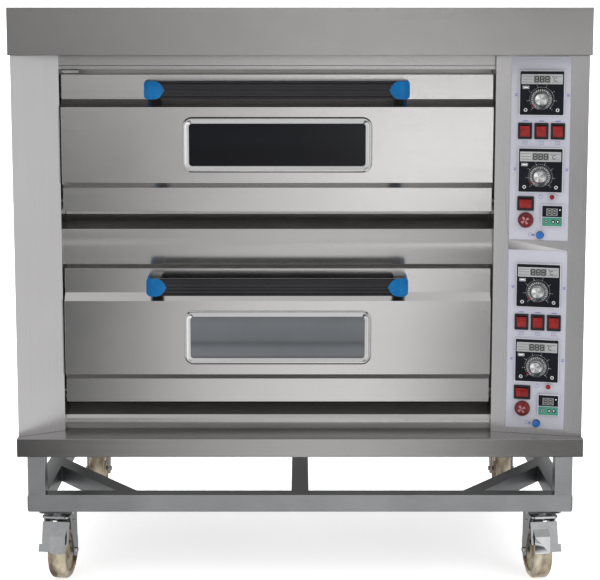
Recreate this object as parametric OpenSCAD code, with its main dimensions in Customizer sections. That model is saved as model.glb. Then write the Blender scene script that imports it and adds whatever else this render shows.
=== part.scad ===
// Two-deck electric bakery oven on a wheeled stand.
// Millimetres, +Z up. The front faces -Y. The origin is on the floor, under the middle of the oven.
// "Setback" is a distance behind the front plane of the hood and the shelf.

/* [Overall] */
// Width over the hood
oven_w = 1230; // [1130:10:1500]
// Depth over the hood and the shelf
oven_d = 850; // [800:10:1100]
// Height of the hood's top above the floor
oven_h = 1255; // [1210:5:1500]
// Height of the hood's rim
hood_h = 100; // [60:5:140]

/* [Stand] */
// Side of the square stand tubes
tube = 38; // [30:1:45]
// Wall of the stand tubes
tube_wall = 1.5; // [1:0.5:3]
// Height of the lower rails' underside above the floor
caster_h = 163; // [160:1:180]
// Height of the shelf's top above the floor
shelf_top = 331; // [310:1:345]
// Height of the shelf's folded apron
apron_h = 40; // [25:1:50]
// How far the stand stands in from the shelf's front and sides
stand_inset = 20; // [20:1:30]
// Length of a corner brace along the front rail
brace_x = 150; // [100:5:220]
// Length of a corner brace along the side rail
brace_y = 215; // [120:5:260]

/* [Casing] */
// Thickness of the casing sheet
sheet = 1.2; // [0.8:0.1:2]
// Thickness of the hood, shelf and chamber sheet
heavy_sheet = 1.5; // [1:0.1:2.5]
// How far the casing's sides stand in from the hood's sides
casing_inset = 2; // [1:0.5:6]
// How far the back panel stands in from the hood's back
back_inset = 30; // [25:1:60]
// Setback of the casing's outer front corners
outer_setback = 22; // [15:1:30]
// Width of the left column
left_column_w = 94; // [80:1:140]
// Width of the control column on the right
right_column_w = 192; // [188:1:220]
// Setback of the left column's inner edge
left_setback = 80; // [70:1:84]
// Setback of the control column's inner edge
right_setback = 74; // [66:1:84]

/* [Decks] */
// Height of the lower door's bottom edge above the shelf
door_rise = 64; // [60:1:72]
// Inner height of a baking chamber
chamber_h = 220; // [190:1:224]
// Inner depth of a baking chamber
chamber_d = 620; // [500:10:630]
// Space from the door opening to the chamber on each side
chamber_margin = 40; // [34:1:60]
// Width of the seal round a chamber's mouth
seal_w = 12; // [8:1:14]
// How far a fascia bulges forward
fascia_bulge = 6; // [3:0.5:8]

/* [Doors] */
// Height of a door
door_h = 297; // [293:1:320]
// Gap at each side of a door
door_gap = 4; // [3:0.5:6]
// Thickness of a door from its main face to its liner
door_t = 62; // [56:1:64]
// Setback of a door's main face
door_setback = 74; // [70:1:78]
// Step between the main face and the upper part
upper_step = 14; // [8:1:18]
// Step between the main face and the lower part
lower_step = 12; // [8:1:16]
// Height of the lower part
lower_part_h = 52; // [40:1:60]
// Height of the undercut above the lower part
undercut_h = 12; // [8:1:16]
// Height of the upper part
upper_part_h = 53; // [48:1:70]
// Height of the slope under the upper part
slope_h = 17; // [10:1:24]
// Width of a window frame
window_w = 410; // [300:5:600]
// Height of a window frame
window_h = 120; // [90:1:130]
// Corner radius of a window frame
window_r = 21; // [14:1:30]
// Width of a window frame's flange
window_rim = 12; // [8:1:16]
// Distance from a door's top edge to its window frame
window_drop = 91; // [84:1:100]
// Thickness of a glass pane
pane_t = 5; // [3:0.5:6]
// Height of the hinge axis above the door's bottom edge
hinge_rise = 22; // [20:1:24]
// Distance from a door's liner face to the hinge axis
hinge_inset = 22; // [18:1:26]
// Radius of a hinge pin
hinge_pin_r = 5; // [4:0.5:6]

/* [Handles] */
// Length of a handle over its ends
handle_l = 564; // [400:2:700]
// Width of a handle end
handle_end_w = 44; // [30:1:60]
// Height of a handle bar
handle_bar_h = 38; // [30:1:42]
// Depth of a handle bar
handle_bar_t = 20; // [14:1:24]
// Distance from the upper part's face to the handle's front
handle_reach = 76; // [60:1:80]
// Distance from a door's top edge to the middle of its handle
handle_drop = 32; // [30:1:36]

/* [Controls] */
// Height of the middle of the top thermostat above its control plate's bottom edge
control_rise = 316; // [315:1:340]
// Side of a thermostat's front
thermostat_w = 96; // [90:1:98]
// Side of a timer's front
timer_w = 48; // [40:1:48]
// Radius of a dial's skirt
dial_r = 23; // [16:1:26]
// Radius of a dial's grip
grip_r = 12.5; // [8:0.5:14]
// Travel of a rocker from one side to the other, in degrees
rocker_swing = 20; // [10:1:22]
// Travel of a push button
button_travel = 3; // [1.5:0.5:4]

/* [Casters] */
// Radius of a wheel
wheel_r = 62.5; // [55:0.5:62.5]
// Width of a wheel
wheel_w = 38; // [30:1:40]
// Distance from the swivel axis to the wheel's axle
trail = 34; // [28:1:38]
// Angle by which the front casters stand turned out
caster_yaw = 8; // [0:1:12]
// Distance from the stand's side to a swivel axis
caster_inset = 62; // [50:1:90]

/* [Hidden] */
$fn = 48;

// Clearances: running fit of a shaft, seat of a part in its opening, and overlap of a cutting tool
run_fit = 0.05;
seat_gap = 0.3;
cut = 1;

UPPER = 1;
LOWER = 0;
DECKS = [LOWER, UPPER];
LEFT = -1;
RIGHT = 1;

steel = [0.66, 0.66, 0.65];
bright_steel = [0.78, 0.78, 0.77];
tube_steel = [0.58, 0.6, 0.62];
black_plastic = [0.05, 0.05, 0.055];
handle_blue = [0.0, 0.42, 0.78];
zinc = [0.7, 0.71, 0.72];

front_y = -oven_d / 2;
function set_y(setback) = front_y + setback;
casing_top = oven_h - hood_h;
casing_x = oven_w / 2 - casing_inset;
back_y = oven_d / 2 - back_inset;

// The door opening lies between the two columns
open_left = -casing_x + left_column_w;
open_right = casing_x - right_column_w;
open_mid = (open_left + open_right) / 2;

// A door's heel swings back round the hinge: the front plate stands behind it and the seal above it
heel_r = norm([hinge_rise, hinge_inset]);
heel_gap = 3;
mask_setback = door_setback + door_t - hinge_inset + heel_r + heel_gap;
chamber_rise = 2 * hinge_rise + seal_w + 2;
mask_y = set_y(mask_setback);

// The doors share the height between the shelf and the hood with the recesses and fascias between them
top_strip_h = 30;
gap_over_upper_door = 11;
gap_over_lower_door = 9;
deck_pitch = casing_top - top_strip_h - gap_over_upper_door - door_h - shelf_top - door_rise;
function recess_h(deck) = deck == UPPER ? 39 : 31;
function door_z(deck) = shelf_top + door_rise + deck * deck_pitch;
function fascia_top(deck) = door_z(deck) - recess_h(deck);
fascia_h = deck_pitch - door_h - recess_h(UPPER) - gap_over_lower_door;
door_w = open_right - open_left - 2 * door_gap;
door_face_y = set_y(door_setback);
door_back_y = door_face_y + door_t;
upper_face_y = door_face_y + upper_step;
lower_face_y = door_face_y + lower_step;
hinge_y = door_back_y - hinge_inset;
function hinge_z(deck) = door_z(deck) + hinge_rise;

// Control panel: x runs outwards along the slanted front, y into the oven, from the inner edge
panel_tilt = atan2(right_setback - outer_setback, right_column_w);
panel_l = norm([right_setback - outer_setback, right_column_w]);
plate_back = sheet + heavy_sheet;

// Helpers

// Draws in the control panel's own frame
module panel() {
  translate([open_right, set_y(right_setback), 0]) rotate([0, 0, -panel_tilt]) children();
}

// Extrudes a [Y, Z] profile along X
module along_x(x0, x1) {
  translate([x0, 0, 0]) rotate([90, 0, 90]) linear_extrude(x1 - x0) children();
}

// Extrudes an [X, Z] outline from y0 to y1
module along_y(y0, y1) {
  translate([0, y1, 0]) rotate([90, 0, 0]) linear_extrude(y1 - y0) children();
}

module x_cylinder(r, x0, x1, y, z) {
  translate([x0, y, z]) rotate([0, 90, 0]) cylinder(r = r, h = x1 - x0);
}

module y_cylinder(r, y0, y1, x, z) {
  translate([x, y1, z]) rotate([90, 0, 0]) cylinder(r = r, h = y1 - y0);
}

// A box from its lowest to its highest corner
module block(low, high) {
  translate(low) cube(high - low);
}

function unit(v) = v / norm(v);
function left_of(v) = [-v[1], v[0]];
function path_dir(p, i) = unit(p[i + 1] - p[i]);
function mitre(a, b, t) = (left_of(a) + left_of(b)) * t / (1 + a * b);
function offset_path(p, t) = [for (i = [0 : len(p) - 1])
  p[i] + mitre(path_dir(p, max(i - 1, 0)), path_dir(p, min(i, len(p) - 2)), t)];

// A sheet of thickness t bent along a path, laid on the path's left side
module bent_sheet(p, t) {
  far = offset_path(p, t);
  polygon(concat(p, [for (i = [len(p) - 1 : -1 : 0]) far[i]]));
}

// A rounded rectangle centred on a point
module rounded(c, size, r) {
  translate(c) {
    square([size[0] - 2 * r, size[1]], center = true);
    square([size[0], size[1] - 2 * r], center = true);
    for (i = [-1, 1]) for (j = [-1, 1])
      translate([i * (size[0] / 2 - r), j * (size[1] / 2 - r)]) circle(r);
  }
}

// A square tube between two corners, open at both ends along the named axis
module tube_along(low, high, axis) {
  inner = [for (i = [0 : 2]) i == axis ? -cut : tube_wall];
  difference() {
    block(low, high);
    block(low + inner, high - inner);
  }
}

// Stand

stand_x = oven_w / 2 - stand_inset;
stand_y = oven_d / 2 - stand_inset;
rail_top = caster_h + tube;
shelf_under = shelf_top - heavy_sheet;
upper_rail_z = shelf_under - tube;

// A level ring of tubes: two long rails, and side rails between them
module tube_ring(z) {
  for (s = [-1, 1]) {
    long_y = s > 0 ? stand_y - tube : -stand_y;
    tube_along([-stand_x, long_y, z], [stand_x, long_y + tube, z + tube], 0);
    side_x = s > 0 ? stand_x - tube : -stand_x;
    tube_along([side_x, -stand_y + tube, z], [side_x + tube, stand_y - tube, z + tube], 1);
  }
}

// A brace across one inner corner of the lower ring, as a slanted tube
module brace(sx, sy) {
  corner = [stand_x - tube, stand_y - tube];
  dir = unit([brace_x, -brace_y]);
  across = [-dir[1], dir[0]];
  wide = tube / abs(across[0]);
  tall = tube / abs(across[1]);
  mirror([sx < 0 ? 1 : 0, 0, 0]) mirror([0, sy < 0 ? 1 : 0, 0]) translate([0, 0, caster_h]) difference() {
    linear_extrude(tube) polygon([corner - [brace_x, 0], corner - [brace_x + wide, 0],
      corner - [0, brace_y + tall], corner - [0, brace_y]]);
    translate([0, 0, tube_wall]) linear_extrude(tube - 2 * tube_wall) polygon([
      corner - [brace_x + tube_wall / tube * wide, 0],
      corner - [brace_x + wide - tube_wall / tube * wide, 0],
      corner - [0, brace_y + tall - tube_wall / tube * tall],
      corner - [0, brace_y + tube_wall / tube * tall]]);
  }
}

module stand_lower_frame() color(tube_steel) difference() {
  union() {
    tube_ring(caster_h);
    tube_along([-tube / 2, -stand_y + tube, caster_h], [tube / 2, stand_y - tube, rail_top], 1);
    for (sx = [-1, 1]) for (sy = [-1, 1]) brace(sx, sy);
  }
  for (sx = [-1, 1]) for (sy = [-1, 1])
    translate([sx * swivel_x, sy * swivel_y, caster_h - cut])
      cylinder(r = stem_r + seat_gap, h = tube_wall + 2 * cut);
}

module stand_upper_frame() color(tube_steel) {
  tube_ring(upper_rail_z);
  for (sx = [-1, 1]) for (sy = [-1, 1]) {
    x0 = sx > 0 ? stand_x - tube : -stand_x;
    y0 = sy > 0 ? stand_y - tube : -stand_y;
    tube_along([x0, y0, rail_top], [x0 + tube, y0 + tube, upper_rail_z], 2);
  }
}

module base_shelf() color(steel) {
  half_w = oven_w / 2 - 1;
  half_d = oven_d / 2;
  t = heavy_sheet;
  difference() {
    block([-half_w, -half_d, shelf_top - apron_h], [half_w, half_d, shelf_top]);
    block([t - half_w, t - half_d, shelf_top - apron_h - cut], [half_w - t, half_d - t, shelf_top - t]);
  }
}

// Casing

wall_hole_r = hinge_pin_r + 2;

module hinge_holes(r) {
  for (deck = DECKS) x_cylinder(r, -casing_x + 2 * sheet, casing_x - 2 * sheet, hinge_y, hinge_z(deck));
}

module left_casing() color(bright_steel) difference() {
  translate([0, 0, shelf_top]) linear_extrude(casing_top - shelf_top) bent_sheet([
    [-casing_x, back_y - sheet], [-casing_x, set_y(outer_setback)],
    [open_left, set_y(left_setback)], [open_left, mask_y]], sheet);
  hinge_holes(wall_hole_r);
}

// Extents of the control plates' openings, along the panel and in height
plate_x0 = 33;
plate_x1 = panel_l - 39;
plate_z0 = shelf_top + 13;
plate_gap = 19;
control_pitch = (casing_top - plate_z0 + plate_gap) / 2;
plate_h = control_pitch - plate_gap;
function plate_z(deck) = plate_z0 + deck * control_pitch;
plate_lap = 3;

module right_casing() color(bright_steel) difference() {
  translate([0, 0, shelf_top]) linear_extrude(casing_top - shelf_top) bent_sheet([
    [open_right, mask_y], [open_right, set_y(right_setback)],
    [casing_x, set_y(outer_setback)], [casing_x, back_y - sheet]], sheet);
  hinge_holes(wall_hole_r);
  panel() for (deck = DECKS)
    block([plate_x0, -cut, plate_z(deck)], [plate_x1, sheet + cut, plate_z(deck) + plate_h - plate_lap]);
}

flue_r = 18;
flue_wall = 1.5;
spigot_r = 20;
spigot_l = 25;
function flue_z(deck) = chamber_z(deck) + chamber_h - 45;
gland_r = 10;
gland_bore_r = 6.5;
gland_x = casing_x - 70;
gland_z = shelf_top + 60;

module back_panel() color(steel) difference() {
  block([-casing_x, back_y - sheet, shelf_top], [casing_x, back_y, casing_top]);
  for (deck = DECKS) y_cylinder(flue_r + seat_gap, back_y - 2 * cut, back_y + cut, open_mid, flue_z(deck));
  y_cylinder(gland_r + seat_gap, back_y - 2 * cut, back_y + cut, gland_x, gland_z);
  for (i = [0 : 9]) block([gland_x - 60, back_y - 2 * cut, casing_top - 80 - i * 14],
    [gland_x + 30, back_y + cut, casing_top - 76 - i * 14]);
}

module hood() color(steel) {
  t = heavy_sheet;
  rim = 14;
  low = [-oven_w / 2, front_y, casing_top];
  high = [oven_w / 2, -front_y, oven_h];
  difference() {
    block(low, high);
    block(low + [t, t, t], high - [t, t, t]);
    block(low + [rim, rim, -cut], high - [rim, rim, hood_h / 2]);
  }
}

// Fascias between the doors

fascia_setback = door_setback + 22;
recess_rise = 28;

// A bulged strip from z0 to z1 with a sloped shelf above it that runs back to the chamber's front plate
module bulged_fascia(z0, z1) {
  half = (z1 - z0) / 2;
  r = (half * half + fascia_bulge * fascia_bulge) / (2 * fascia_bulge);
  face_y = set_y(fascia_setback);
  along_x(open_left, open_right) {
    intersection() {
      translate([face_y - fascia_bulge + r, z0 + half]) difference() {
        circle(r, $fn = 360);
        circle(r - sheet, $fn = 360);
      }
      translate([face_y - fascia_bulge, z0]) square([fascia_bulge + sheet, 2 * half]);
    }
    bent_sheet([[mask_y, z1 + recess_rise], [face_y, z1], [face_y + sheet / 2, z1 - sheet]], sheet);
  }
}

module fascias() color(steel) {
  top_y = set_y(fascia_setback - 6);
  lip_y = top_y - 3;
  z0 = casing_top - top_strip_h;
  along_x(open_left, open_right)
    bent_sheet([[mask_y, z0], [lip_y, z0], [lip_y, z0 + 7], [top_y, z0 + 8], [top_y, casing_top]], -sheet);
  bulged_fascia(fascia_top(UPPER) - fascia_h, fascia_top(UPPER));
  bulged_fascia(shelf_top, fascia_top(LOWER));
}

// Chambers

chamber_x0 = open_left + chamber_margin;
chamber_x1 = open_right - chamber_margin;
chamber_y1 = mask_y + chamber_d;
function chamber_z(deck) = door_z(deck) + chamber_rise;
function mask_z0(deck) = fascia_top(deck) + recess_rise;
function mask_z1(deck) = deck == UPPER ? casing_top - top_strip_h : fascia_top(UPPER) - fascia_h;
ledge = 16;
deck_plate_t = 6;
deck_plate_rise = 24;
rod_r = 5;
rod_drop = 18;
rod_rise = 12;
lamp_r = 17;
lamp_y = mask_y + 70;
function lamp_z(deck) = chamber_z(deck) + chamber_h - 60;

// The places of the heating rods: each hairpin is [Y of its middle, Z] and its legs lie either side
hairpin_gap = 100;
hairpin_pitch = chamber_d / 3;
function hairpins(deck) = [for (i = [0.5 : 1 : 2.5]) for (z = [rod_rise, chamber_h - rod_drop])
  [mask_y + i * hairpin_pitch, chamber_z(deck) + z]];

// Holes through a chamber's right wall and its insulation for the rods' ends and the lamp
module service_holes(deck, r_extra) {
  for (h = hairpins(deck)) for (s = [-1, 1])
    x_cylinder(rod_r + r_extra, chamber_x1 - cut, open_right + cut, h[0] + s * hairpin_gap / 2, h[1]);
  x_cylinder(lamp_r + r_extra, chamber_x1 - cut, open_right + cut, lamp_y, lamp_z(deck));
}

module chamber(deck) {
  t = heavy_sheet;
  low = [chamber_x0, mask_y, chamber_z(deck)];
  high = [chamber_x1, chamber_y1, chamber_z(deck) + chamber_h];
  color(bright_steel) difference() {
    union() {
      block(low - [t, 0, t], high + [t, t, t]);
      block([open_left + sheet, mask_y, mask_z0(deck)], [open_right - sheet, mask_y + t, mask_z1(deck)]);
    }
    block(low - [0, cut, 0], high);
    y_cylinder(flue_r - flue_wall, high[1] - cut, high[1] + t + cut, open_mid, flue_z(deck));
    service_holes(deck, seat_gap);
  }
}

module insulation() color([0.85, 0.8, 0.62]) for (deck = DECKS) {
  t = heavy_sheet;
  side = chamber_margin - sheet;
  low = [chamber_x0 - t, mask_y + t, chamber_z(deck) - t];
  high = [chamber_x1 + t, chamber_y1 + t, chamber_z(deck) + chamber_h + t];
  wall = 36;
  floor_wall = 32;
  difference() {
    block([open_left + sheet, low[1], low[2] - floor_wall],
      [open_right - sheet, high[1] + wall, high[2] + wall]);
    block(low - [0, cut, 0], high);
    y_cylinder(flue_r + seat_gap, high[1] - cut, high[1] + wall + cut, open_mid, flue_z(deck));
    service_holes(deck, 1);
  }
}

module door_seals() color([0.75, 0.73, 0.66]) for (deck = DECKS) {
  mid = [open_mid, chamber_z(deck) + chamber_h / 2];
  inner = [chamber_x1 - chamber_x0 + 2, chamber_h + 2];
  along_y(door_back_y + seat_gap, mask_y) difference() {
    rounded(mid, inner + 2 * [seal_w, seal_w], 16);
    rounded(mid, inner, 4);
  }
}

// A plate in each chamber, on a rail along each side wall
module baking_decks() color([0.35, 0.33, 0.31]) for (deck = DECKS) {
  seat_z = chamber_z(deck) + deck_plate_rise;
  rail_z = seat_z - seat_gap;
  block([chamber_x0 + 2, mask_y + 4, seat_z], [chamber_x1 - 2, chamber_y1 - 4, seat_z + deck_plate_t]);
  for (x = [chamber_x0, chamber_x1 - ledge])
    block([x, mask_y + heavy_sheet, rail_z - heavy_sheet], [x + ledge, chamber_y1, rail_z]);
}

module heating_elements() color([0.3, 0.28, 0.27]) for (deck = DECKS) for (h = hairpins(deck)) {
  bend_x = chamber_x0 + 30 + hairpin_gap / 2;
  for (s = [-1, 1]) x_cylinder(rod_r, bend_x, open_right + 25, h[0] + s * hairpin_gap / 2, h[1]);
  translate([bend_x, h[0], h[1]]) rotate([0, 0, 90]) rotate_extrude(angle = 180)
    translate([hairpin_gap / 2, 0]) circle(rod_r);
}

module chamber_lamps() color([0.95, 0.92, 0.8]) for (deck = DECKS) {
  x_cylinder(lamp_r, chamber_x1 - 10, open_right + 12, lamp_y, lamp_z(deck));
  x_cylinder(lamp_r + 6, chamber_x1 - 6, chamber_x1, lamp_y, lamp_z(deck));
}

bush_r = 11;
bush_l = 12;

module hinge_bushes() color(zinc) difference() {
  for (deck = DECKS) {
    x_cylinder(bush_r, open_left - sheet - bush_l, open_left - sheet, hinge_y, hinge_z(deck));
    x_cylinder(bush_r, open_right + sheet, open_right + sheet + bush_l, hinge_y, hinge_z(deck));
  }
  hinge_holes(hinge_pin_r + run_fit);
}

// Doors, each drawn at z = 0 along its bottom edge

door_x0 = open_mid - door_w / 2;
door_x1 = open_mid + door_w / 2;
main_z0 = lower_part_h + undercut_h;
upper_z0 = door_h - upper_part_h;
main_z1 = upper_z0 - slope_h;

// The door's outer [Y, Z] outline, with its front drawn in by an amount and its ends by the same
function door_outline(in) = [
  [door_back_y, in], [lower_face_y + in, in], [lower_face_y + in, lower_part_h - in / 2],
  [door_face_y + in, main_z0 - in / 2], [door_face_y + in, main_z1 - in / 2],
  [upper_face_y + in, upper_z0 - in / 2], [upper_face_y + in, door_h - in], [door_back_y, door_h - in]];

window_mid = [open_mid, door_h - window_drop - window_h / 2];
pane_size = [window_w - 2 * window_rim, window_h - 2 * window_rim];
sleeve_t = 1.5;
sleeve_size = pane_size + 2 * [sleeve_t, sleeve_t] + 2 * [seat_gap, seat_gap];
pane_r = window_r - window_rim + 3;

module window_hole() {
  along_y(door_face_y - cut, door_back_y + cut)
    rounded(window_mid, sleeve_size + 2 * [seat_gap, seat_gap], pane_r + sleeve_t);
}

module door_skin() color(steel) difference() {
  along_x(door_x0, door_x1) polygon(door_outline(0));
  along_x(door_x0 + sheet, door_x1 - sheet) polygon([for (p = door_outline(sheet))
    p[0] == door_back_y ? [door_back_y + cut, p[1]] : p]);
  window_hole();
  x_cylinder(hinge_pin_r + seat_gap, door_x0 - cut, door_x1 + cut, hinge_y, hinge_rise);
}

module door_liner() color(bright_steel) {
  low = [door_x0 + sheet, door_back_y - heavy_sheet, sheet];
  high = [door_x1 - sheet, door_back_y, door_h - sheet];
  difference() {
    block(low, high);
    window_hole();
  }
  boss = 30;
  for (s = [-1, 1]) {
    inner_x = s > 0 ? door_x1 - sheet - boss : door_x0 + sheet;
    block([inner_x, hinge_y - 12, hinge_rise - 12],
      [inner_x + boss, door_back_y - heavy_sheet, hinge_rise + 14]);
  }
  pin_out = door_gap + sheet + bush_l - 2;
  x_cylinder(hinge_pin_r, door_x0 - pin_out, door_x0 + sheet + 4, hinge_y, hinge_rise);
  x_cylinder(hinge_pin_r, door_x1 - sheet - 4, door_x1 + pin_out, hinge_y, hinge_rise);
}

module door_window_frame() color(bright_steel) {
  proud = 3.5;
  along_y(door_face_y - proud, door_face_y) difference() {
    rounded(window_mid, [window_w, window_h], window_r);
    rounded(window_mid, pane_size - [6, 6], pane_r - 3);
  }
  along_y(door_face_y - cut / 2, door_back_y) difference() {
    rounded(window_mid, sleeve_size, pane_r + sleeve_t);
    rounded(window_mid, sleeve_size - 2 * [sleeve_t, sleeve_t], pane_r);
  }
}

module door_glass() color([0.25, 0.3, 0.3, 0.5])
  for (y = [door_face_y, door_back_y - pane_t - 2])
    along_y(y, y + pane_t) rounded(window_mid, pane_size, pane_r);

handle_mid_z = door_h - handle_drop;
handle_front_y = upper_face_y - handle_reach;

module door_handle_bar() color(black_plastic) {
  r = handle_bar_t / 2;
  reach = handle_l / 2 - handle_end_w;
  along_x(open_mid - reach, open_mid + reach) translate([handle_front_y + 4, handle_mid_z - handle_bar_h / 2])
    rounded([r, handle_bar_h / 2], [handle_bar_t, handle_bar_h], r * 0.8);
}

// A handle end seen from the side: a rounded nose at the bar, and a foot that widens towards the door
module handle_end_outline() {
  r = handle_bar_h / 2;
  translate([handle_front_y + r, handle_mid_z]) circle(r);
  polygon([[handle_front_y + r, handle_mid_z + r], [upper_face_y, handle_mid_z + r + 3],
    [upper_face_y, handle_mid_z - 12], [handle_front_y + r, handle_mid_z - r]]);
}

module door_handle_ends() color(handle_blue) for (s = [-1, 1]) {
  x0 = open_mid + (s > 0 ? handle_l / 2 - handle_end_w : -handle_l / 2);
  along_x(x0, x0 + handle_end_w) handle_end_outline();
}

module at_door(deck) {
  translate([0, 0, door_z(deck)]) children();
}

// Controls, each drawn in the panel's frame

control_x = 99;
thermostat_rise = [0, -165];
dial_drop = 13;
rocker_row_drop = 81;
rocker_step = 35;
rocker_size = [30, 35];
main_rocker_size = [36, 31];
main_rocker_at = [-31, -237];
dome_at = [-30, -273];
lamp_at = [26, -222];
timer_at = [27, -262];
button_at = [1, -305];
function control_z(deck) = plate_z(deck) + control_rise;
function spot(deck, at) = [control_x + at[0], control_z(deck) + at[1]];
function rocker_spots(deck) = [for (i = [-1 : 1]) spot(deck, [i * rocker_step, -rocker_row_drop])];
thermostat_body = thermostat_w - 7;
timer_body = timer_w - 4;
body_depth = 52;
bezel_t = 5;
dome_r = 15;
small_lamp_r = 6.3;
button_r = 6;
collar_r = 8.5;
rocker_rim = 4.5;

module square_cutout(at, body) {
  rounded(at, [body + 2 * seat_gap, body + 2 * seat_gap], 1);
}

module plate_cutouts(deck) {
  for (rise = thermostat_rise) square_cutout(spot(deck, [0, rise]), thermostat_body);
  for (p = rocker_spots(deck)) rounded(p, rocker_size - [3, 3], 1);
  rounded(spot(deck, main_rocker_at), main_rocker_size - [3, 3], 1);
  square_cutout(spot(deck, timer_at), timer_body);
  translate(spot(deck, lamp_at)) circle(small_lamp_r - 1);
  translate(spot(deck, dome_at)) circle(dome_r / 2 + seat_gap);
  translate(spot(deck, button_at)) circle(button_r + 1.5 + seat_gap);
}

module control_plates() color([0.9, 0.9, 0.95]) panel()
  for (deck = DECKS) along_y(sheet, plate_back) difference() {
    translate([plate_x0 - plate_lap, plate_z(deck) - plate_lap])
      square([plate_x1 - plate_x0 + 2 * plate_lap, plate_h + plate_lap]);
    plate_cutouts(deck);
  }

shaft_r = 3;

// A square instrument: a bezel in front of the plate and a case behind it
module instrument(at, w, body) {
  along_y(sheet - bezel_t, sheet) rounded(at, [w, w], 2);
  along_y(sheet - cut, sheet + body_depth) rounded(at, [body, body], 0.7);
}

module thermostats() color(black_plastic) panel()
  for (deck = DECKS) for (rise = thermostat_rise) difference() {
    at = spot(deck, [0, rise]);
    instrument(at, thermostat_w, thermostat_body);
    y_cylinder(shaft_r + run_fit, sheet - bezel_t - cut, sheet + 16, at[0], at[1] - dial_drop);
  }

module dial(deck, row) color(zinc) panel() {
  at = spot(deck, [0, thermostat_rise[row] - dial_drop]);
  face = sheet - bezel_t - seat_gap;
  y_cylinder(dial_r, face - 5, face, at[0], at[1]);
  y_cylinder(grip_r, face - 18, face - 4, at[0], at[1]);
  y_cylinder(shaft_r, face - cut, sheet + 15, at[0], at[1]);
}

rocker_pin_r = 1.5;
rocker_axis_y = 2.5;

// A switch housing with a pocket for its rocker and holes for the rocker's trunnions
module rocker_housing(at, size) difference() {
  union() {
    along_y(sheet - 3, sheet) rounded(at, size, 1.5);
    along_y(sheet - cut, sheet + 26) rounded(at, size - [4, 4], 1);
  }
  along_y(sheet - 4, sheet + 20) rounded(at, size - 2 * [rocker_rim, rocker_rim], 0.5);
  hole_half = size[0] / 2 - 2.6;
  x_cylinder(rocker_pin_r + run_fit, at[0] - hole_half, at[0] + hole_half, sheet + rocker_axis_y, at[1]);
}

// A rocker whose two faces meet at the trunnions' height; one of them stands proud at rest
module rocker(at, size) {
  half = size[1] / 2 - rocker_rim - 1.1;
  in_w = size[0] - 2 * rocker_rim - 2 * seat_gap;
  axis_y = sheet + rocker_axis_y;
  rise = half * tan(rocker_swing / 2);
  translate([0, axis_y, at[1]]) rotate([rocker_swing / 2, 0, 0]) {
    along_x(at[0] - in_w / 2, at[0] + in_w / 2)
      polygon([[-5, 0], [-5 - rise / 2, half - 0.5], [-4 - rise / 2, half], [3, half - 1.5], [8, 3], [8, -3],
        [3, 1.5 - half], [-4 - rise / 2, -half], [-5 - rise / 2, 0.5 - half]]);
    x_cylinder(rocker_pin_r, at[0] - size[0] / 2 + 3, at[0] + size[0] / 2 - 3, 0, 0);
  }
}

module switch_housings() color(black_plastic) panel() for (deck = DECKS) {
  for (p = rocker_spots(deck)) rocker_housing(p, rocker_size);
  rocker_housing(spot(deck, main_rocker_at), main_rocker_size);
  at = spot(deck, button_at);
  difference() {
    union() {
      y_cylinder(collar_r, sheet - 3, sheet, at[0], at[1]);
      y_cylinder(button_r + 1.5, sheet - cut, sheet + 22, at[0], at[1]);
    }
    y_cylinder(button_r + run_fit, sheet - 4, sheet + 15, at[0], at[1]);
  }
}

module rocker_node(deck, i) color([0.8, 0.08, 0.06]) panel() {
  if (i < 3) rocker(rocker_spots(deck)[i], rocker_size);
  else rocker(spot(deck, main_rocker_at), main_rocker_size);
}

module push_button(deck) color([0.05, 0.2, 0.75]) panel() {
  at = spot(deck, button_at);
  y_cylinder(button_r, sheet - 8, sheet + 15 - button_travel - seat_gap, at[0], at[1]);
}

module timers() color(black_plastic) panel()
  for (deck = DECKS) instrument(spot(deck, timer_at), timer_w, timer_body);

module indicator_lamps() color([0.6, 0.05, 0.05]) panel() for (deck = DECKS) {
  lamp = spot(deck, lamp_at);
  y_cylinder(small_lamp_r, sheet - 4, sheet, lamp[0], lamp[1]);
  y_cylinder(small_lamp_r - 1 - seat_gap, sheet - cut, sheet + 20, lamp[0], lamp[1]);
  dome = spot(deck, dome_at);
  y_cylinder(dome_r, sheet - 9, sheet, dome[0], dome[1]);
  y_cylinder(dome_r / 2, sheet - cut, sheet + 25, dome[0], dome[1]);
}

// Electrical parts on the back panel, behind the controls

gear_x = open_right + 18;
contactor_w = 36;

module electrical_gear() color([0.2, 0.22, 0.24]) {
  wall = back_y - sheet;
  for (z = [shelf_top + 240, shelf_top + 480]) {
    block([gear_x, wall - 8, z - 17], [gear_x + 4 * contactor_w + 6, wall, z + 17]);
    for (i = [0 : 3]) {
      x0 = gear_x + 2 + i * (contactor_w + 1);
      block([x0, wall - 8 - 70, z - 36], [x0 + contactor_w, wall - 8, z + 36]);
    }
  }
  block([gear_x + 10, wall - 40, gland_z + 60], [gear_x + 130, wall, gland_z + 90]);
}

// A vapour pipe from a chamber's back wall, with a spigot outside the back panel
module flue(deck) difference() {
  union() {
    y_cylinder(flue_r, chamber_y1 + heavy_sheet, back_y + cut, open_mid, flue_z(deck));
    y_cylinder(spigot_r, back_y, back_y + spigot_l, open_mid, flue_z(deck));
  }
  y_cylinder(flue_r - flue_wall, chamber_y1, back_y + spigot_l + cut, open_mid, flue_z(deck));
}

module cable_gland() difference() {
  union() {
    y_cylinder(gland_r, back_y - 14, back_y + 6, gland_x, gland_z);
    y_cylinder(gland_r + 5, back_y, back_y + 7, gland_x, gland_z, $fn = 6);
    y_cylinder(gland_r + 3, back_y + 7, back_y + 22, gland_x, gland_z);
    y_cylinder(gland_r + 5, back_y - sheet - 5, back_y - sheet, gland_x, gland_z, $fn = 6);
  }
  y_cylinder(gland_bore_r, back_y - 15, back_y + 23, gland_x, gland_z);
}

module rear_fittings() color(zinc) {
  for (deck = DECKS) flue(deck);
  cable_gland();
}

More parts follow.
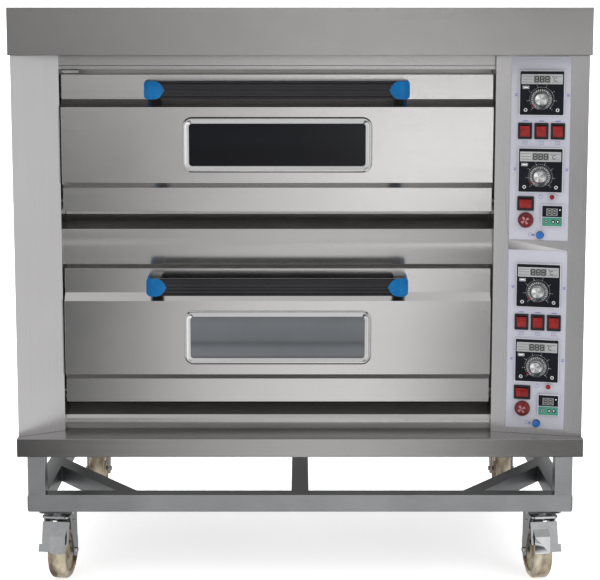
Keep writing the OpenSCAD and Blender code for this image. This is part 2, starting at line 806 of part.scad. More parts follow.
// Casters: swivel axis at x = 0, y = 0, floor at z = 0, pedal towards -Y

swivel_x = stand_x - caster_inset;
swivel_y = stand_y - tube / 2;
stem_r = 6;
head_t = 4;
race_h = 6;
crown_t = 4;
crown_top = caster_h - head_t - race_h;
fork_w = wheel_w + 22;
leg_t = 4;
axle_r = 6;
pedal_axis = [trail - 14, caster_h - 29];
pedal_pin_r = 3;

module place_caster(sx, sy) {
  turn = sy < 0 ? sx * caster_yaw : 180;
  translate([sx * swivel_x, sy * swivel_y, 0]) rotate([0, 0, turn]) children();
}

module caster_head() {
  translate([0, 0, caster_h - head_t]) linear_extrude(head_t) rounded([0, 0], [78, tube], 5);
  translate([0, 0, crown_top]) cylinder(r = 17, h = race_h + cut);
  translate([0, 0, crown_top - crown_t - cut]) cylinder(r = stem_r, h = crown_t + 2 * cut);
  translate([0, 0, crown_top - crown_t - seat_gap - 6]) cylinder(r = 11, h = 6);
  translate([0, 0, caster_h - cut]) cylinder(r = stem_r, h = 18);
}

module caster_heads() color(zinc) for (sx = [-1, 1]) for (sy = [-1, 1])
  translate([sx * swivel_x, sy * swivel_y, 0]) caster_head();

// One fork leg as a [Y, Z] outline: wide at the crown, round at the axle
module leg_outline() {
  boss = 14;
  translate([trail, wheel_r]) circle(boss);
  polygon([[-9, crown_top - crown_t], [trail + 12, crown_top - crown_t],
    [trail + boss, wheel_r + 6], [trail + boss, wheel_r], [trail - boss, wheel_r],
    [trail - boss - 3, wheel_r + 14], [-2, crown_top - 32]]);
}

module caster_fork(sx, sy) color(zinc) place_caster(sx, sy) {
  difference() {
    union() {
      for (x = [-fork_w / 2, fork_w / 2 - leg_t]) along_x(x, x + leg_t) leg_outline();
      translate([0, 0, crown_top - crown_t]) linear_extrude(crown_t) rounded([0, 12], [fork_w, 72], 8);
      x_cylinder(axle_r, -fork_w / 2 - 4, fork_w / 2 + 4, trail, wheel_r);
    }
    translate([0, 0, crown_top - 2 * crown_t]) cylinder(r = stem_r + run_fit, h = 3 * crown_t);
    if (sy < 0) x_cylinder(pedal_pin_r + run_fit, -fork_w, fork_w, pedal_axis[0], pedal_axis[1]);
  }
}

module caster_wheel(sx, sy) color([0.86, 0.8, 0.66]) place_caster(sx, sy)
  translate([0, trail, wheel_r]) rotate([0, 90, 0]) {
    tread_r = 8;
    half = wheel_w / 2;
    bore_r = axle_r + run_fit;
    rotate_extrude($fn = 96) difference() {
      union() {
        translate([wheel_r - tread_r, half - tread_r]) circle(tread_r);
        translate([wheel_r - tread_r, tread_r - half]) circle(tread_r);
        translate([bore_r, -half]) square([wheel_r - tread_r - bore_r, wheel_w]);
        translate([bore_r, tread_r - half]) square([wheel_r - bore_r, wheel_w - 2 * tread_r]);
      }
      for (s = [-1, 1]) translate([20, s > 0 ? half - 5 : -half - cut]) square([28, 5 + cut]);
    }
  }

pedal_w = 60;
pedal_t = 3;
cheek_t = 2.5;

// The pedal: two cheeks on a cross pin, a front plate, a centre lip, a side lug and a shoe over the tread
module brake_pedal(sx) color(zinc) place_caster(sx, -1) mirror([sx > 0 ? 1 : 0, 0, 0]) {
  a = pedal_axis;
  half = pedal_w / 2;
  cheek_x = fork_w / 2 - leg_t - seat_gap;
  top_z = a[1] + 5;
  x_cylinder(pedal_pin_r, -fork_w / 2 - 2, fork_w / 2 + 2, a[0], a[1]);
  for (x = [-cheek_x, cheek_x - cheek_t]) along_x(x, x + cheek_t)
    polygon([[a[0] + 5, a[1] - 6], [a[0] + 5, a[1] + 6], [-14, top_z], [-16, top_z - 18],
      [a[0] - 8, a[1] - 7]]);
  along_x(-half, half) bent_sheet([[-13, top_z], [-25, top_z - 48]], -pedal_t);
  along_x(-half - 6, -half + 20) bent_sheet([[-25, top_z - 48], [-31, top_z - 64]], -pedal_t);
  along_x(-half + 20, half - 6)
    bent_sheet([[-17, top_z - 16], [-29, top_z - 30], [-33, top_z - 66]], -pedal_t);
  along_x(-12, 12)
    polygon([[-14, top_z - 4], [a[0] - 2, a[1] - 5.5], [a[0] - 16, a[1] - 10], [-16, top_z - 12]]);
}

// Assembly

stand_lower_frame();
stand_upper_frame();
base_shelf();
left_casing();
right_casing();
back_panel();
hood();
fascias();
chamber(UPPER);  // chamber_upper
chamber(LOWER);  // chamber_lower
insulation();
door_seals();
baking_decks();
heating_elements();
chamber_lamps();
hinge_bushes();
control_plates();
thermostats();
switch_housings();
timers();
indicator_lamps();
electrical_gear();
rear_fittings();
caster_heads();
at_door(UPPER) door_skin();  // door_upper_skin
at_door(UPPER) door_liner();  // door_upper_liner
at_door(UPPER) door_window_frame();  // door_upper_window_frame
at_door(UPPER) door_glass();  // door_upper_glass
at_door(UPPER) door_handle_bar();  // door_upper_handle_bar
at_door(UPPER) door_handle_ends();  // door_upper_handle_ends
at_door(LOWER) door_skin();  // door_lower_skin
at_door(LOWER) door_liner();  // door_lower_liner
at_door(LOWER) door_window_frame();  // door_lower_window_frame
at_door(LOWER) door_glass();  // door_lower_glass
at_door(LOWER) door_handle_bar();  // door_lower_handle_bar
at_door(LOWER) door_handle_ends();  // door_lower_handle_ends
dial(UPPER, 0);  // dial_upper_top
dial(UPPER, 1);  // dial_upper_bottom
dial(LOWER, 0);  // dial_lower_top
dial(LOWER, 1);  // dial_lower_bottom
rocker_node(UPPER, 0);  // rocker_upper_left
rocker_node(UPPER, 1);  // rocker_upper_middle
rocker_node(UPPER, 2);  // rocker_upper_right
rocker_node(UPPER, 3);  // rocker_upper_main
rocker_node(LOWER, 0);  // rocker_lower_left
rocker_node(LOWER, 1);  // rocker_lower_middle
rocker_node(LOWER, 2);  // rocker_lower_right
rocker_node(LOWER, 3);  // rocker_lower_main
push_button(UPPER);  // push_button_upper
push_button(LOWER);  // push_button_lower
caster_fork(LEFT, -1);  // caster_fork_front_left
caster_fork(RIGHT, -1);  // caster_fork_front_right
caster_fork(LEFT, 1);  // caster_fork_rear_left
caster_fork(RIGHT, 1);  // caster_fork_rear_right
caster_wheel(LEFT, -1);  // caster_wheel_front_left
caster_wheel(RIGHT, -1);  // caster_wheel_front_right
caster_wheel(LEFT, 1);  // caster_wheel_rear_left
caster_wheel(RIGHT, 1);  // caster_wheel_rear_right
brake_pedal(LEFT);  // brake_pedal_left
brake_pedal(RIGHT);  // brake_pedal_right
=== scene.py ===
import math

import bmesh
import bpy
from mathutils import Matrix, Vector


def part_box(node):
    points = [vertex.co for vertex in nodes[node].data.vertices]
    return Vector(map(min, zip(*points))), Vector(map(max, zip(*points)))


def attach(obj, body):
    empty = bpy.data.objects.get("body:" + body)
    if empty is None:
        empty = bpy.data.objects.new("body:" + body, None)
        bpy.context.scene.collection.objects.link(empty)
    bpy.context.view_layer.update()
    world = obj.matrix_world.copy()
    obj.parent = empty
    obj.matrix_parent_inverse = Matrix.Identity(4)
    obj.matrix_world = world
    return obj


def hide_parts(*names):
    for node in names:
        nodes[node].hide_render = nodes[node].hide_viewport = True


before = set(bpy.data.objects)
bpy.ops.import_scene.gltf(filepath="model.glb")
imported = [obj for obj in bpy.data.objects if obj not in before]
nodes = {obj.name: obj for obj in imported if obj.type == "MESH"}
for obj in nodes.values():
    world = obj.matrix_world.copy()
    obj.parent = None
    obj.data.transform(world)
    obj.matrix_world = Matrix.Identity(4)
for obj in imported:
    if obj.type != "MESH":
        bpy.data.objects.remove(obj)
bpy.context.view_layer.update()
scene = bpy.context.scene

MM = 0.001
FINE_SHARE = 0.35
DECKS = ("upper", "lower")


# ---------------------------------------------------------------- materials

def link(tree, a, b):
    tree.links.new(a, b)


def noise_value(tree, coords, scale, detail, low, high, roughness=0.6):
    """A noise mapped to the span low..high; returns the socket."""
    mapping = tree.nodes.new("ShaderNodeMapping")
    mapping.inputs["Scale"].default_value = scale
    link(tree, coords, mapping.inputs["Vector"])
    noise = tree.nodes.new("ShaderNodeTexNoise")
    noise.inputs["Scale"].default_value = 1.0
    noise.inputs["Detail"].default_value = detail
    noise.inputs["Roughness"].default_value = roughness
    link(tree, mapping.outputs["Vector"], noise.inputs["Vector"])
    spread = tree.nodes.new("ShaderNodeMapRange")
    spread.inputs["From Min"].default_value = 0.25
    spread.inputs["From Max"].default_value = 0.75
    spread.inputs["To Min"].default_value = low
    spread.inputs["To Max"].default_value = high
    link(tree, noise.outputs["Fac"], spread.inputs["Value"])
    return spread.outputs["Result"]


def shades(tree, factor, dark, light):
    """A ramp from dark (factor 0) to light (factor 1); returns the socket."""
    ramp = tree.nodes.new("ShaderNodeValToRGB")
    ramp.color_ramp.elements[0].color = (*dark, 1)
    ramp.color_ramp.elements[1].color = (*light, 1)
    link(tree, factor, ramp.inputs["Fac"])
    return ramp.outputs["Color"]


def grey_ramp(tree, factor, stops):
    """A ramp through (position, shade) pairs, from the first to the last; returns the socket."""
    ramp = tree.nodes.new("ShaderNodeValToRGB")
    elements = ramp.color_ramp.elements
    for at, _ in stops[1:-1]:
        elements.new(at)
    for k, (at, shade) in enumerate(stops):
        elements[k].position = at
        elements[k].color = (shade, shade, shade, 1)
    link(tree, factor, ramp.inputs["Fac"])
    return ramp.outputs["Color"]


def surface(name, dark, light, rough, metallic=0.0, blotch=3.0, grain=None, bump=0.05, bump_size=0.0004,
            anisotropic=0.0, **constants):
    """A material whose colour drifts between two shades in blotches, and whose fine grain moves its roughness
    and its bump. rough is (smoothest, roughest); grain is the grain's scale along X, Y and Z."""
    material = bpy.data.materials.new(name)
    material.use_nodes = True
    tree = material.node_tree
    shader = tree.nodes["Principled BSDF"]
    coords = tree.nodes.new("ShaderNodeTexCoord").outputs["Object"]
    grain = grain or (900, 900, 900)
    patches = noise_value(tree, coords, (blotch,) * 3, 4, 0.0, 1.0)
    fine = noise_value(tree, coords, grain, 3, 0.0, 1.0)
    both = tree.nodes.new("ShaderNodeMath")
    both.operation = "MULTIPLY_ADD"
    link(tree, fine, both.inputs[0])
    both.inputs[1].default_value = FINE_SHARE
    link(tree, patches, both.inputs[2])
    link(tree, shades(tree, both.outputs[0], dark, light), shader.inputs["Base Color"])
    worn = tree.nodes.new("ShaderNodeMapRange")
    worn.inputs["To Min"].default_value = rough[0]
    worn.inputs["To Max"].default_value = rough[1]
    worn.inputs["From Max"].default_value = 1 + FINE_SHARE
    link(tree, both.outputs[0], worn.inputs["Value"])
    link(tree, worn.outputs["Result"], shader.inputs["Roughness"])
    if bump:
        relief = tree.nodes.new("ShaderNodeBump")
        relief.inputs["Strength"].default_value = bump
        relief.inputs["Distance"].default_value = bump_size
        link(tree, fine, relief.inputs["Height"])
        link(tree, relief.outputs["Normal"], shader.inputs["Normal"])
    shader.inputs["Metallic"].default_value = metallic
    if anisotropic:
        shader.inputs["Anisotropic"].default_value = anisotropic
        tangent = tree.nodes.new("ShaderNodeTangent")
        tangent.direction_type = "RADIAL"
        tangent.axis = "Z"
        link(tree, tangent.outputs["Tangent"], shader.inputs["Tangent"])
    for key, value in constants.items():
        shader.inputs[key.replace("_", " ")].default_value = value
    return material


# Brushed grain that runs along X or along Z
ALONG_X = (3, 900, 900)
ALONG_Z = (900, 900, 3)
# The casing, door, fascia and column steels are lit and shaded copies of one brushed steel: their different
# base shades are painted shade and light, darkest on the hood, shelf and back, lightest on the doors and
# columns.
casing_steel = surface("casing_steel", (.3, .293, .29), (.38, .372, .368), (.15, .24), 1.0, 2.2, ALONG_X,
                       anisotropic=.6, Anisotropic_Rotation=.25)
door_steel = surface("door_steel", (.46, .452, .448), (.56, .552, .546), (.12, .2), 1.0, 1.6, ALONG_X,
                     anisotropic=.6, Anisotropic_Rotation=.25)
fascia_steel = surface("fascia_steel", (.4, .392, .388), (.48, .472, .466), (.17, .26), .94, 1.8,
                       ALONG_X, .02,
                       anisotropic=.6, Anisotropic_Rotation=.25)
column_steel = surface("column_steel", (.46, .452, .458), (.56, .552, .556), (.18, .28), 1.0, 1.4, ALONG_Z)
stand_steel = surface("stand_steel", (.32, .326, .332), (.46, .468, .476), (.26, .4), 1.0, 5.0, (40, 40, 700))
inner_steel = surface("inner_steel", (.45, .44, .42), (.62, .61, .59), (.3, .45), .75, 4.0, (30, 300, 300))
window_steel = surface("window_steel", (.5, .5, .5), (.6, .6, .6), (.14, .24), 1.0, 6.0, (700, 700, 700), .02)
zinc = surface("zinc", (.27, .276, .282), (.42, .427, .434), (.08, .2), 1.0, 12.0, (90, 90, 90), .04)
dark_metal = surface("dark_metal", (.05, .048, .046), (.12, .11, .1), (.4, .6), 1.0, 9.0, (400,
                     400, 400), .15)
rod_metal = surface("rod_metal", (.06, .05, .045), (.16, .13, .11), (.45, .7), .8, 12.0, (300, 300, 300), .1)
wool = surface("wool", (.5, .42, .22), (.74, .67, .42), (.85, 1.0), 0.0, 14.0, (160, 160, 160), .8, .004)
braid = surface("braid", (.42, .4, .34), (.62, .6, .52), (.8, .95), 0.0, 30.0, (450, 450, 450), .6, .0015)
lamp_glass = surface("lamp_glass", (.85, .83, .75), (.95, .93, .86), (.05, .12), 0.0, 9.0,
                     Transmission_Weight=.6)
plate_white = surface("plate_white", (.35, .35, .4), (.42, .42, .48), (.3, .42), 0.0, 4.0, bump=.03)
module_grey = surface("module_grey", (.38, .38, .41), (.48, .48, .52), (.35, .5), 0.0, 6.0, bump=.04)
black_plastic = surface("black_plastic", (.008, .008, .01), (.016, .016, .02), (.3, .45), 0.0, 12.0, bump=.06,
                        Specular_IOR_Level=.2)
bar_black = surface("bar_black", (.006, .006, .008), (.014, .014, .016), (.16, .28), 0.0, 5.0, (8,
                    500, 500), .03,
                    Specular_IOR_Level=.35)
face_black = surface("face_black", (.004, .005, .008), (.008, .009, .013), (.18, .28), 0.0, 10.0, bump=.02,
                     Specular_IOR_Level=.12)
handle_blue = surface("handle_blue", (.0, .065, .18), (.0, .112, .31), (.2, .32), 0.0, 18.0, bump=.04,
                      Specular_IOR_Level=.2)
rocker_red = surface("rocker_red", (.11, .007, .007), (.26, .018, .018), (.1, .2), 0.0, 60.0, bump=.04,
                     Specular_IOR_Level=.35)
lamp_red = surface("lamp_red", (.12, .003, .006), (.22, .006, .01), (.06, .14), 0.0, 40.0, bump=.02,
                   Specular_IOR_Level=.3)
dome_red = surface("dome_red", (.06, .004, .006), (.12, .008, .01), (.08, .18), 0.0, 25.0, bump=.02,
                   Specular_IOR_Level=.35)
button_blue = surface("button_blue", (.006, .06, .25), (.012, .11, .38), (.15, .25), 0.0, 40.0, bump=.03)
gear_grey = surface("gear_grey", (.04, .045, .05), (.1, .11, .12), (.45, .6), 0.0, 9.0, bump=.05)
print_white = surface("print_white", (.62, .62, .62), (.8, .8, .8), (.4, .5), 0.0, 20.0, bump=.02)
print_grey = surface("print_grey", (.2, .2, .21), (.3, .3, .32), (.4, .5), 0.0, 20.0, bump=.02)
dome_mark = surface("dome_mark", (.26, .09, .1), (.36, .15, .16), (.3, .4), 0.0, 20.0, bump=.02)
print_blue = surface("print_blue", (.08, .1, .3), (.14, .17, .42), (.4, .5), 0.0, 20.0, bump=.02)
print_dark = surface("print_dark", (.03, .03, .035), (.06, .06, .065), (.4, .5), 0.0, 20.0, bump=.02)
strip_silver = surface("strip_silver", (.36, .37, .39), (.48, .49, .5), (.28, .4), .6, 9.0, (8,
                       400, 900), .04)
lcd_grey = surface("lcd_grey", (.14, .145, .14), (.22, .225, .215), (.12, .2), 0.0, 15.0, bump=.01)
keypad_green = surface("keypad_green", (.02, .14, .09), (.035, .21, .14), (.3, .42), 0.0, 18.0, bump=.03)
skirt_metal = surface("skirt_metal", (.1, .105, .11), (.2, .205, .215), (.2, .32), 1.0, 30.0, (300,
                      300, 300), .04)


def spun_metal_painted_highlights():
    """Turned aluminium with painted highlights: light and dark wedges about the piece's own Y axis stand in
    for the sheen of its spun face, over fine noise.
    """
    material = bpy.data.materials.new("spun_metal_painted_highlights")
    material.use_nodes = True
    tree = material.node_tree
    shader = tree.nodes["Principled BSDF"]
    coords = tree.nodes.new("ShaderNodeTexCoord").outputs["Object"]
    parts = tree.nodes.new("ShaderNodeSeparateXYZ")
    link(tree, coords, parts.inputs[0])

    def calc(operation, *values):
        node = tree.nodes.new("ShaderNodeMath")
        node.operation = operation
        for i, value in enumerate(values):
            if isinstance(value, (int, float)):
                node.inputs[i].default_value = value
            else:
                link(tree, value, node.inputs[i])
        return node.outputs[0]

    # Painted highlight: a bow-tie of sheen round the axis and a narrower one across it.
    angle = calc("ARCTAN2", parts.outputs["Z"], parts.outputs["X"])
    sectors = calc("POWER", calc("ABSOLUTE", calc("COSINE", calc("ADD", angle, .55))), 3)
    cross = calc("POWER", calc("ABSOLUTE", calc("SINE", calc("ADD", angle, .5))), 6)
    painted_highlight = calc("ADD", sectors, calc("MULTIPLY", cross, .8))
    fine = noise_value(tree, coords, (900, 900, 900), 3, -.12, .12)
    colour = shades(tree, calc("ADD", painted_highlight, fine), (.1, .1, .105), (1.0, 1.0, 1.0))
    link(tree, colour, shader.inputs["Base Color"])
    shader.inputs["Metallic"].default_value = 1.0
    rough = noise_value(tree, coords, (120, 120, 120), 2, .22, .36)
    link(tree, rough, shader.inputs["Roughness"])
    return material


def worn_nylon():
    """Cream nylon with brown rubber streaks round the tread."""
    material = surface("worn_nylon", (.4, .35, .24), (.55, .49, .37), (.28, .5), 0.0, 9.0, (120, 120, 120),
                       .1, .0008, Subsurface_Weight=.1)
    tree = material.node_tree
    shader = tree.nodes["Principled BSDF"]
    clean = shader.inputs["Base Color"].links[0].from_socket
    coords = next(n for n in tree.nodes if n.type == "TEX_COORD").outputs["Object"]
    dirt = noise_value(tree, coords, (26, 14, 14), 3, -.8, 1.5, .5)
    mix = tree.nodes.new("ShaderNodeMix")
    mix.data_type = "RGBA"
    link(tree, dirt, mix.inputs["Factor"])
    link(tree, clean, mix.inputs["A"])
    mix.inputs["B"].default_value = (.09, .055, .035, 1)
    link(tree, mix.outputs["Result"], shader.inputs["Base Color"])
    return material


def pane(name, tint, rough, weight, ior, bands, node):
    """Glass for a node, with painted light and shade in bands across its height that stand in for the
    chamber's lit edges and the reflections seen in it. bands are (height, shade) pairs from its bottom (0) to
    its top (1).
    """
    material = surface(name, tuple(c * .8 for c in tint), tint, rough, 0.0, 5.0, bump=.004)
    tree = material.node_tree
    shader = tree.nodes["Principled BSDF"]
    turn_back = nodes[node].matrix_world.inverted()
    low, high = (turn_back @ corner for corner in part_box(node))
    ways = tree.nodes.new("ShaderNodeSeparateXYZ")
    link(tree, next(n for n in tree.nodes if n.type == "TEX_COORD").outputs["Object"], ways.inputs[0])
    height = tree.nodes.new("ShaderNodeMapRange")
    height.inputs["From Min"].default_value = low.z
    height.inputs["From Max"].default_value = high.z
    link(tree, ways.outputs["Z"], height.inputs["Value"])
    # Painted light and shade: the bands darken and lighten the glass by height.
    painted_band_shades = grey_ramp(tree, height.outputs["Result"], bands)
    glass_with_painted_bands = tree.nodes.new("ShaderNodeMix")
    glass_with_painted_bands.data_type = "RGBA"
    glass_with_painted_bands.blend_type = "MULTIPLY"
    glass_with_painted_bands.inputs["Factor"].default_value = 1.0
    link(tree, shader.inputs["Base Color"].links[0].from_socket, glass_with_painted_bands.inputs["A"])
    link(tree, painted_band_shades, glass_with_painted_bands.inputs["B"])
    link(tree, glass_with_painted_bands.outputs["Result"], shader.inputs["Base Color"])
    shader.inputs["Transmission Weight"].default_value = weight
    shader.inputs["IOR"].default_value = ior
    return material


spun = spun_metal_painted_highlights()
nylon = worn_nylon()
# The bands on both panes are painted light and shade; the lower pane's lighter tint is a painted reflection.
glass_upper = pane("glass_upper", (.011, .0115, .015), (.04, .09), .3, 1.2,
                   ((.0, .6), (.1, .8), (.3, .7), (.6, 1.0), (1.0, .9)), "door_upper_glass")
glass_lower = pane("glass_lower", (.2, .214, .23), (.05, .1), .3, 1.3,
                   ((.0, .35), (.09, .85), (.24, .8), (.37, .5), (.45, .72), (.8, .85), (1.0, .75)),
                   "door_lower_glass")
glass = {"upper": glass_upper, "lower": glass_lower}

FINISH = {
    "stand_lower_frame": stand_steel, "stand_upper_frame": stand_steel, "base_shelf": casing_steel,
    "left_casing": column_steel, "right_casing": column_steel, "back_panel": casing_steel,
    "hood": casing_steel, "fascias": fascia_steel, "chamber_upper": inner_steel, "chamber_lower": inner_steel,
    "insulation": wool, "door_seals": braid, "baking_decks": dark_metal, "heating_elements": rod_metal,
    "chamber_lamps": lamp_glass, "hinge_bushes": zinc, "control_plates": plate_white,
    "thermostats": module_grey, "switch_housings": black_plastic, "timers": module_grey,
    "indicator_lamps": lamp_red, "electrical_gear": gear_grey, "rear_fittings": zinc, "caster_heads": zinc,
}
for deck in DECKS:
    FINISH.update({
        f"door_{deck}_skin": door_steel, f"door_{deck}_liner": inner_steel,
        f"door_{deck}_window_frame": window_steel, f"door_{deck}_glass": glass[deck],
        f"door_{deck}_handle_bar": bar_black, f"door_{deck}_handle_ends": handle_blue,
        f"dial_{deck}_top": skirt_metal, f"dial_{deck}_bottom": skirt_metal,
        f"push_button_{deck}": button_blue})
    for place in ("left", "middle", "right", "main"):
        FINISH[f"rocker_{deck}_{place}"] = rocker_red
for side in ("left", "right"):
    FINISH[f"brake_pedal_{side}"] = zinc
    for end in ("front", "rear"):
        FINISH[f"caster_fork_{end}_{side}"] = zinc
        FINISH[f"caster_wheel_{end}_{side}"] = nylon

for name, ob in nodes.items():
    for part_slot in ob.material_slots:
        part_slot.material = FINISH[name]
    if not ob.material_slots:
        ob.data.materials.append(FINISH[name])

# Bevel widths in millimetres
SOFT_EDGES = {"hood": 1.2, "base_shelf": 1.2, "left_casing": .5, "right_casing": .5,
              "stand_lower_frame": .6, "stand_upper_frame": .6, "door_upper_skin": .8, "door_lower_skin": .8,
              "thermostats": .8, "timers": .8, "switch_housings": .5, "caster_heads": .5}
for side in ("left", "right"):
    SOFT_EDGES[f"brake_pedal_{side}"] = .8
    for end in ("front", "rear"):
        SOFT_EDGES[f"caster_fork_{end}_{side}"] = .6
for name, width in SOFT_EDGES.items():
    weld = nodes[name].modifiers.new("weld", "WELD")
    weld.merge_threshold = 1e-6
    bevel = nodes[name].modifiers.new("soft_edges", "BEVEL")
    bevel.width = width * MM
    bevel.segments = 2
    bevel.limit_method = "ANGLE"
    bevel.angle_limit = math.radians(40)
    bevel.use_clamp_overlap = True
    bevel.harden_normals = True


# ---------------------------------------------------------------- shapes

def piece(name, bm, finishes, body, angle=35, place=None):
    """Turns a bmesh in millimetres into a piece that rides on a body. place is its own frame, in metres."""
    bmesh.ops.remove_doubles(bm, verts=bm.verts, dist=1e-4)
    bmesh.ops.recalc_face_normals(bm, faces=bm.faces)
    bmesh.ops.scale(bm, vec=(MM,) * 3, verts=bm.verts)
    mesh = bpy.data.meshes.new(name)
    bm.to_mesh(mesh)
    bm.free()
    for finish in finishes:
        mesh.materials.append(finish)
    mesh.polygons.foreach_set("use_smooth", [True] * len(mesh.polygons))
    mesh.set_sharp_from_angle(angle=math.radians(angle))
    ob = bpy.data.objects.new(name, mesh)
    scene.collection.objects.link(ob)
    if place is not None:
        ob.matrix_world = place
    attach(ob, body)
    return ob


def loft(bm, loops, material=0, closed=False):
    """Skins a run of equal loops of points, with a cap at each end or the last loop joined to the first."""
    rings = [[bm.verts.new(p) for p in loop] for loop in loops]
    n = len(rings[0])
    pairs = list(zip(rings, rings[1:])) + ([(rings[-1], rings[0])] if closed else [])
    for a, b in pairs:
        for i in range(n):
            bm.faces.new((a[i], a[(i + 1) % n], b[(i + 1) % n], b[i])).material_index = material
    if not closed:
        bm.faces.new(rings[0]).material_index = material
        bm.faces.new(list(reversed(rings[-1]))).material_index = material


def rounded_loop(cx, cz, w, h, r, y, steps):
    """The points of a rounded rectangle in the X-Z plane at depth y, with so many steps to a corner."""
    r = min(r, w / 2 - 1e-3, h / 2 - 1e-3)
    points = []
    for k, (sx, sz) in enumerate(((1, 1), (-1, 1), (-1, -1), (1, -1))):
        for i in range(steps + 1):
            a = math.radians(90 * k + 90 * i / steps)
            points.append((cx + sx * (w / 2 - r) + r * math.cos(a), y,
                           cz + sz * (h / 2 - r) + r * math.sin(a)))
    return points


def slab(bm, cx, cz, w, h, y0, y1, r, edge, material=0):
    """A rounded plate from its front at y0 to its back at y1, with a softened front edge."""
    steps = 3
    loft(bm, [rounded_loop(cx, cz, w - 2 * edge, h - 2 * edge, max(r - edge, .05), y0, steps),
              rounded_loop(cx, cz, w, h, r, y0 + edge, steps),
              rounded_loop(cx, cz, w, h, r, y1, steps)], material)


def ring_loop(cx, cz, r, y, n):
    """The n points of a circle in the X-Z plane at depth y."""
    angles = [2 * math.pi * i / n for i in range(n)]
    return [(cx + r * math.cos(a), y, cz + r * math.sin(a)) for a in angles]


def lathe(bm, cx, cz, profile, n, material=0):
    """Revolves (radius, y) pairs about the line x = cx, z = cz; a material may be given for each band."""
    loops = [ring_loop(cx, cz, max(r, 1e-3), y, n) for r, y in profile]
    if isinstance(material, int):
        loft(bm, loops, material)
        return
    rings = [[bm.verts.new(p) for p in loop] for loop in loops]
    for k, (a, b) in enumerate(zip(rings, rings[1:])):
        for i in range(n):
            bm.faces.new((a[i], a[(i + 1) % n], b[(i + 1) % n], b[i])).material_index = material[k]
    bm.faces.new(rings[0]).material_index = material[0]
    bm.faces.new(list(reversed(rings[-1]))).material_index = material[-1]


def bar_mark(bm, cx, cz, w, h, y, material=0, turn=0.0, thick=.25):
    """A small flat printed mark, turned in the X-Z plane."""
    c, s = math.cos(turn), math.sin(turn)
    corners = [(-w / 2, -h / 2), (w / 2, -h / 2), (w / 2, h / 2), (-w / 2, h / 2)]
    flat = [(cx + x * c - z * s, cz + x * s + z * c) for x, z in corners]
    loft(bm, [[(x, y, z) for x, z in flat], [(x, y + thick, z) for x, z in flat]], material)


def ring_mark(bm, cx, cz, r, w, y, material, n, start=0.0, end=360.0):
    """A printed ring, or a part of one between two angles; n is the number of steps in a whole turn."""
    thick = .25
    full = end - start >= 360
    steps = n if full else max(3, int(n * (end - start) / 360))
    loops = []
    for i in range(steps if full else steps + 1):
        a = math.radians(start + (end - start) * i / steps)
        section = ((r - w / 2, y), (r + w / 2, y), (r + w / 2, y + thick), (r - w / 2, y + thick))
        loops.append([(cx + q * math.cos(a), depth, cz + q * math.sin(a)) for q, depth in section])
    loft(bm, loops, material, closed=full)


# Each segment of a digit: where it is across and up, and whether it stands upright
SEGMENTS = ((0, 1, False), (1, .5, True), (1, -.5, True), (0, -1, False), (-1, -.5, True), (-1, .5, True),
            (0, 0, False))


def digit(bm, cx, cz, w, h, y, material):
    """A seven-segment eight."""
    stroke = w * .2
    for px, pz, upright in SEGMENTS:
        z = cz + pz * (h - stroke) / 2
        if upright:
            bar_mark(bm, cx + px * (w - stroke) / 2, z, stroke, h / 2 - stroke, y, material)
        else:
            bar_mark(bm, cx, z, w - stroke * 1.6, stroke, y, material)


# ---------------------------------------------------------------- measures shared with the frame

door_low, door_high = {}, {}
for deck in DECKS:
    door_low[deck], door_high[deck] = (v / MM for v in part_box(f"door_{deck}_skin"))
open_right = (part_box("fascias")[1].x) / MM
casing_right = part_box("right_casing")[1].x / MM
casing_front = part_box("right_casing")[0].y / MM
COLUMN_DEPTH = 52.0
panel_tilt = math.atan2(COLUMN_DEPTH, casing_right - open_right)
PANEL = (Matrix.Translation((open_right * MM, (casing_front + COLUMN_DEPTH) * MM, 0))
         @ Matrix.Rotation(-panel_tilt, 4, "Z"))
SHEET = 1.2
TUBE = 38.0


def panel_spot(node):
    """The middle of a node in the panel's frame, in millimetres."""
    low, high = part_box(node)
    return (PANEL.inverted() @ ((low + high) / 2)) / MM


# ---------------------------------------------------------------- thermostats, timers, lamps and marks

CONTROL_X = panel_spot("rocker_upper_middle").x
DIAL_DROP = 13.0
FACE_Y = SHEET - 5.0

# From the middle of a deck's top thermostat, across and up
TIMER_AT = (27, -262)
BUZZER_AT = (-30, -273)
LAMP_AT = (26, -222)

thermostat_z = {}
for deck in DECKS:
    for row in ("top", "bottom"):
        thermostat_z[deck, row] = panel_spot(f"dial_{deck}_{row}").z + DIAL_DROP


